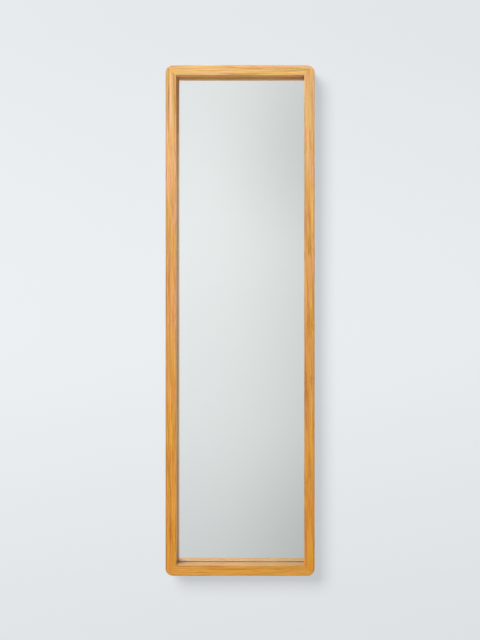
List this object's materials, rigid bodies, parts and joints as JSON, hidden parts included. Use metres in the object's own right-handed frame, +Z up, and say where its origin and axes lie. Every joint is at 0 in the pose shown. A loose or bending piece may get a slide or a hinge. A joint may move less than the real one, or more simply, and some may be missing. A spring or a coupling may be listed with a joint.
{
  "type": "framed wall mirror",
  "caption": "Full-length wall mirror: a deep mitred oak frame with rounded corners round a set-back silvered glass, hung from swinging D-rings.",
  "frame": {"origin": "on the wall plane, midway between the two wall hooks, at the height where the D-rings bear on them", "axes": "+X to the viewer's right, +Y into the wall, +Z up; the mirror faces -Y"},
  "size_m": [0.4, 0.0502, 1.37],
  "materials": {
    "oak": "satin",
    "beech": "matte",
    "silvered_glass": "polished",
    "grey_board": "matte",
    "fibreboard": "matte",
    "black_rubber": "matte",
    "zinc": "satin",
    "brassed_steel": "satin",
    "soft_rubber": "satin"
  },
  "bodies": {
    "root": {"left_stile": "oak", "top_rail": "oak", "right_stile": "oak", "bottom_rail": "oak", "key_top_left": "beech", "key_top_right": "beech", "key_bottom_left": "beech", "key_bottom_right": "beech", "mirror_glass": "silvered_glass", "cushion_sheet": "grey_board", "back_board": "fibreboard", "setting_block_left": "black_rubber", "setting_block_right": "black_rubber", "turn_screw_top": "zinc", "turn_screw_bottom": "zinc", "turn_screw_upper_left": "zinc", "turn_screw_upper_right": "zinc", "turn_screw_middle_left": "zinc", "turn_screw_middle_right": "zinc", "turn_screw_lower_left": "zinc", "turn_screw_lower_right": "zinc", "hanger_strap_left": "brassed_steel", "hanger_screw_upper_left": "zinc", "hanger_screw_lower_left": "zinc", "hanger_strap_right": "brassed_steel", "hanger_screw_upper_right": "zinc", "hanger_screw_lower_right": "zinc", "wall_bumper_top_left": "soft_rubber", "wall_bumper_top_right": "soft_rubber", "wall_bumper_bottom_left": "soft_rubber", "wall_bumper_bottom_right": "soft_rubber"},
    "button_top": {"turn_button_top": "zinc"},
    "button_bottom": {"turn_button_bottom": "zinc"},
    "button_upper_left": {"turn_button_upper_left": "zinc"},
    "button_upper_right": {"turn_button_upper_right": "zinc"},
    "button_middle_left": {"turn_button_middle_left": "zinc"},
    "button_middle_right": {"turn_button_middle_right": "zinc"},
    "button_lower_left": {"turn_button_lower_left": "zinc"},
    "button_lower_right": {"turn_button_lower_right": "zinc"},
    "ring_left": {"hanger_ring_left": "brassed_steel"},
    "ring_right": {"hanger_ring_right": "brassed_steel"}
  },
  "joints": [
    {"name": "turn_top", "type": "hinge", "parent": "root", "child": "button_top", "pos_m": [0, -0.00625, 0.136], "axis": [0, 1, 0], "continuous": true},
    {"name": "turn_bottom", "type": "hinge", "parent": "root", "child": "button_bottom", "pos_m": [0, -0.00625, -1.206], "axis": [0, 1, 0], "continuous": true},
    {"name": "turn_upper_left", "type": "hinge", "parent": "root", "child": "button_upper_left", "pos_m": [-0.186, -0.00625, -0.114], "axis": [0, 1, 0], "continuous": true},
    {"name": "turn_upper_right", "type": "hinge", "parent": "root", "child": "button_upper_right", "pos_m": [0.186, -0.00625, -0.114], "axis": [0, 1, 0], "continuous": true},
    {"name": "turn_middle_left", "type": "hinge", "parent": "root", "child": "button_middle_left", "pos_m": [-0.186, -0.00625, -0.592], "axis": [0, 1, 0], "continuous": true},
    {"name": "turn_middle_right", "type": "hinge", "parent": "root", "child": "button_middle_right", "pos_m": [0.186, -0.00625, -0.592], "axis": [0, 1, 0], "continuous": true},
    {"name": "turn_lower_left", "type": "hinge", "parent": "root", "child": "button_lower_left", "pos_m": [-0.186, -0.00625, -1.07], "axis": [0, 1, 0], "continuous": true},
    {"name": "turn_lower_right", "type": "hinge", "parent": "root", "child": "button_lower_right", "pos_m": [0.186, -0.00625, -1.07], "axis": [0, 1, 0], "continuous": true},
    {"name": "swing_left", "type": "hinge", "parent": "root", "child": "ring_left", "pos_m": [-0.187, -0.0041, -0.018], "axis": [1, 0, 0], "range_deg": [0, 180]},
    {"name": "swing_right", "type": "hinge", "parent": "root", "child": "ring_right", "pos_m": [0.187, -0.0041, -0.018], "axis": [1, 0, 0], "range_deg": [0, 180]}
  ]
}
